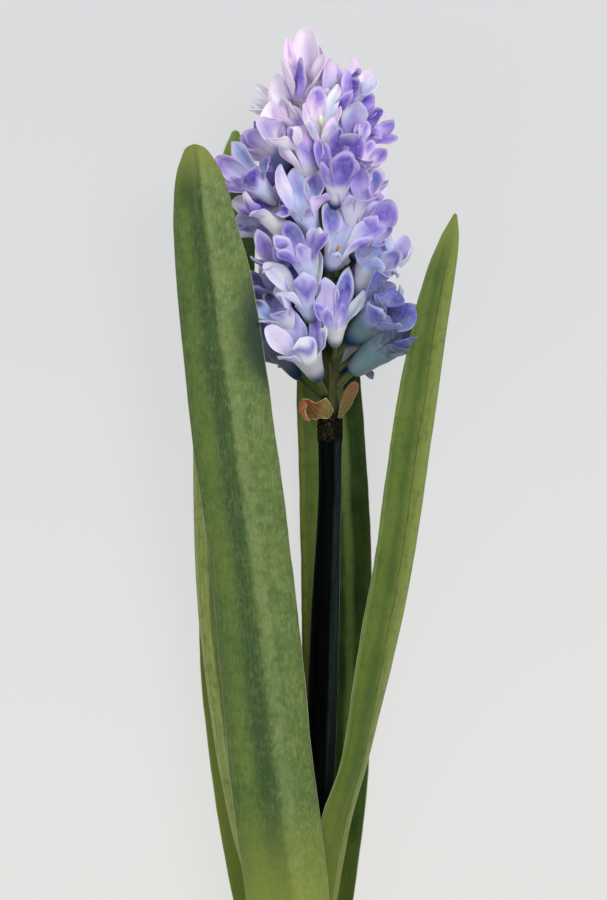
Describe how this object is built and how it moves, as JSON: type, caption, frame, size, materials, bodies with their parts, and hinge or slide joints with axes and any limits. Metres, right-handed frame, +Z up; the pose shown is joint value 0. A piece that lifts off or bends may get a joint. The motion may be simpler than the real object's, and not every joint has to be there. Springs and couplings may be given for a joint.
{
  "type": "hyacinth flower",
  "caption": "Cut hyacinth lying on its back: a dense spike of lilac bell florets with reflexed lobes on a dark ribbed stem, among broad strap leaves that sheathe it at the cut base.",
  "frame": {"origin": "centre of the object's outline in plan, on the surface that it rests on", "axes": "+Y along the stem from the cut base to the tip of the flower, +Z up, which is the front of the flower, +X to the right of the flower seen from above"},
  "size_m": [0.0975, 0.3363, 0.0596],
  "materials": {
    "leaf_green": "satin",
    "dark_leaf_green": "satin",
    "stem_green": "satin",
    "bract_brown": "matte",
    "petal_lilac": "matte"
  },
  "bodies": {
    "root": {"front_left_leaf": "leaf_green", "front_right_leaf": "leaf_green", "back_centre_leaf": "leaf_green", "back_left_leaf": "dark_leaf_green", "left_leaf": "leaf_green", "flower_stem": "stem_green", "left_bract": "bract_brown", "right_bract": "bract_brown", "floret_01": "petal_lilac", "floret_02": "petal_lilac", "floret_03": "petal_lilac", "floret_04": "petal_lilac", "floret_05": "petal_lilac", "floret_06": "petal_lilac", "floret_07": "petal_lilac", "floret_08": "petal_lilac", "floret_09": "petal_lilac", "floret_10": "petal_lilac", "floret_11": "petal_lilac", "floret_12": "petal_lilac", "floret_13": "petal_lilac", "floret_14": "petal_lilac", "floret_15": "petal_lilac", "floret_16": "petal_lilac", "floret_17": "petal_lilac", "floret_18": "petal_lilac", "floret_19": "petal_lilac", "floret_20": "petal_lilac", "floret_21": "petal_lilac", "floret_22": "petal_lilac", "floret_23": "petal_lilac", "floret_24": "petal_lilac", "floret_25": "petal_lilac", "floret_26": "petal_lilac", "floret_27": "petal_lilac", "floret_28": "petal_lilac", "floret_29": "petal_lilac", "floret_30": "petal_lilac", "floret_31": "petal_lilac", "floret_32": "petal_lilac", "floret_33": "petal_lilac", "floret_34": "petal_lilac", "floret_35": "petal_lilac", "floret_36": "petal_lilac", "floret_37": "petal_lilac", "floret_38": "petal_lilac", "floret_39": "petal_lilac", "floret_40": "petal_lilac", "floret_41": "petal_lilac", "floret_42": "petal_lilac", "floret_43": "petal_lilac", "floret_44": "petal_lilac", "floret_45": "petal_lilac", "floret_46": "petal_lilac", "floret_47": "petal_lilac", "floret_48": "petal_lilac", "floret_49": "petal_lilac"}
  },
  "joints": []
}
